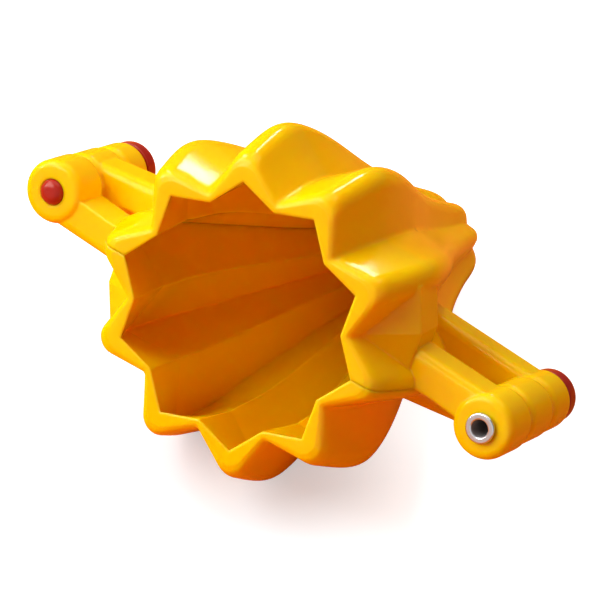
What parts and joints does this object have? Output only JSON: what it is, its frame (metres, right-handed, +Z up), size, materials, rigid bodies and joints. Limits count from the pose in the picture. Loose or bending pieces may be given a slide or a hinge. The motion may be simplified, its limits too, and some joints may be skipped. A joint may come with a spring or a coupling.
{
  "type": "modak mould",
  "caption": "Hand-sized star-fluted mould for sweet dumplings, split into two hinged shells that a pull-out pin locks at the side.",
  "frame": {"origin": "centre of the footprint box, on the surface that the closed mould lies on", "axes": "+Z up; +X along the two wings, from the locking pin to the hinge; the open mouth faces -Y and leans back, and the fluted tip points to +Y and down"},
  "size_m": [0.0972, 0.084, 0.057],
  "materials": {
    "shell": "glossy moulded yellow plastic",
    "steel": "plain turned steel",
    "red": "glossy dark red plastic"
  },
  "bodies": {
    "fixed_half": {"lower_half": "shell", "hinge_rivet": "steel", "hinge_cap": "red"},
    "swinging_half": {"upper_half": "shell"},
    "pull_pin": {"lock_pin": "red"}
  },
  "joints": [
    {"name": "shell_hinge", "type": "hinge", "parent": "fixed_half", "child": "swinging_half", "pos_m": [0.0431, -0.01398, 0.02582], "axis": [0, 0.9379, -0.3469], "range_deg": [0, 170]},
    {"name": "pin_slide", "type": "slide", "parent": "fixed_half", "child": "pull_pin", "axis": [0, 0.9379, -0.3469], "range_m": [0, 0.03]}
  ]
}
